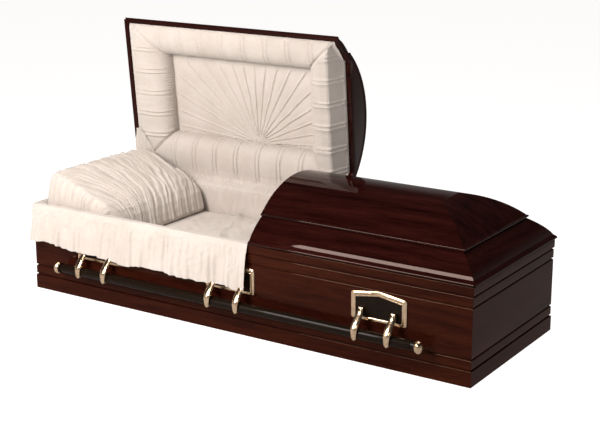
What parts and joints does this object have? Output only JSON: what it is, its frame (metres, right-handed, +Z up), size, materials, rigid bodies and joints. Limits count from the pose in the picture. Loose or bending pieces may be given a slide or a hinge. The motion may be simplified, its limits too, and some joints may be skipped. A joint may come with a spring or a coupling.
{
  "type": "funeral casket",
  "caption": "Half-couch hardwood casket with separately hinged head and foot lids, shirred cloth lining, pillow, throw and swing-bar carrying handles.",
  "frame": {"origin": "on the floor, under the middle of the casket, on the face of the bottom board", "axes": "+X runs along the casket to the foot end, +Y to the hinge side, +Z up; the head lid stands open and the foot lid is closed"},
  "size_m": [2.1358, 0.9761, 1.1141],
  "materials": {
    "mahogany": "dark red-brown mahogany stain under a polished gloss lacquer",
    "lining_crepe": "ivory crepe, gathered and tufted",
    "throw_cloth": "ivory crepe, lying in soft folds",
    "brass": "polished gold-coloured plating",
    "bar_black": "gloss black"
  },
  "bodies": {
    "body": {"bottom_board": "mahogany", "base_board_front": "mahogany", "base_board_back": "mahogany", "base_board_head": "mahogany", "base_board_foot": "mahogany", "side_board_front": "mahogany", "side_board_back": "mahogany", "side_board_head": "mahogany", "side_board_foot": "mahogany", "lining_front": "lining_crepe", "lining_back": "lining_crepe", "lining_head": "lining_crepe", "lining_foot": "lining_crepe", "mattress": "lining_crepe", "pillow": "lining_crepe", "throw": "throw_cloth", "head_lid_hinge": "brass", "foot_lid_hinge": "brass", "handle_plate_front_1": "brass", "handle_plate_front_2": "brass", "handle_plate_front_3": "brass", "handle_plate_back_1": "brass", "handle_plate_back_2": "brass", "handle_plate_back_3": "brass"},
    "head_lid": {"head_lid_rail_front": "mahogany", "head_lid_rail_back": "mahogany", "head_lid_rail_end": "mahogany", "head_lid_crown": "mahogany", "head_lid_header": "mahogany", "head_lid_roll_front": "lining_crepe", "head_lid_roll_back": "lining_crepe", "head_lid_roll_head": "lining_crepe", "head_lid_roll_split": "lining_crepe", "head_lid_sunburst_panel": "lining_crepe"},
    "foot_lid": {"foot_lid_rail_front": "mahogany", "foot_lid_rail_back": "mahogany", "foot_lid_rail_end": "mahogany", "foot_lid_crown": "mahogany", "foot_lid_header": "mahogany", "foot_lid_lining": "lining_crepe"},
    "front_bar": {"handle_arm_front_1a": "brass", "handle_arm_front_1b": "brass", "handle_arm_front_2a": "brass", "handle_arm_front_2b": "brass", "handle_arm_front_3a": "brass", "handle_arm_front_3b": "brass", "handle_bar_front": "bar_black", "bar_cap_front_head": "brass", "bar_cap_front_foot": "brass"},
    "back_bar": {"handle_arm_back_1a": "brass", "handle_arm_back_1b": "brass", "handle_arm_back_2a": "brass", "handle_arm_back_2b": "brass", "handle_arm_back_3a": "brass", "handle_arm_back_3b": "brass", "handle_bar_back": "bar_black", "bar_cap_back_head": "brass", "bar_cap_back_foot": "brass"}
  },
  "joints": [
    {"name": "head_lid_turn", "type": "hinge", "parent": "body", "child": "head_lid", "pos_m": [-0.485, 0.362, 0.38375], "axis": [1, 0, 0], "range_deg": [0, 84.5], "deforming": ["pillow"]},
    {"name": "foot_lid_turn", "type": "hinge", "parent": "body", "child": "foot_lid", "pos_m": [0.571, 0.362, 0.38375], "axis": [1, 0, 0], "range_deg": [-84.5, 0]},
    {"name": "front_bar_turn", "type": "hinge", "parent": "body", "child": "front_bar", "pos_m": [-0.006, -0.3743, 0.222], "axis": [1, 0, 0], "range_deg": [-70, 0], "deforming": ["throw"]},
    {"name": "back_bar_turn", "type": "hinge", "parent": "body", "child": "back_bar", "pos_m": [-0.006, 0.3743, 0.222], "axis": [1, 0, 0], "range_deg": [0, 70]}
  ]
}
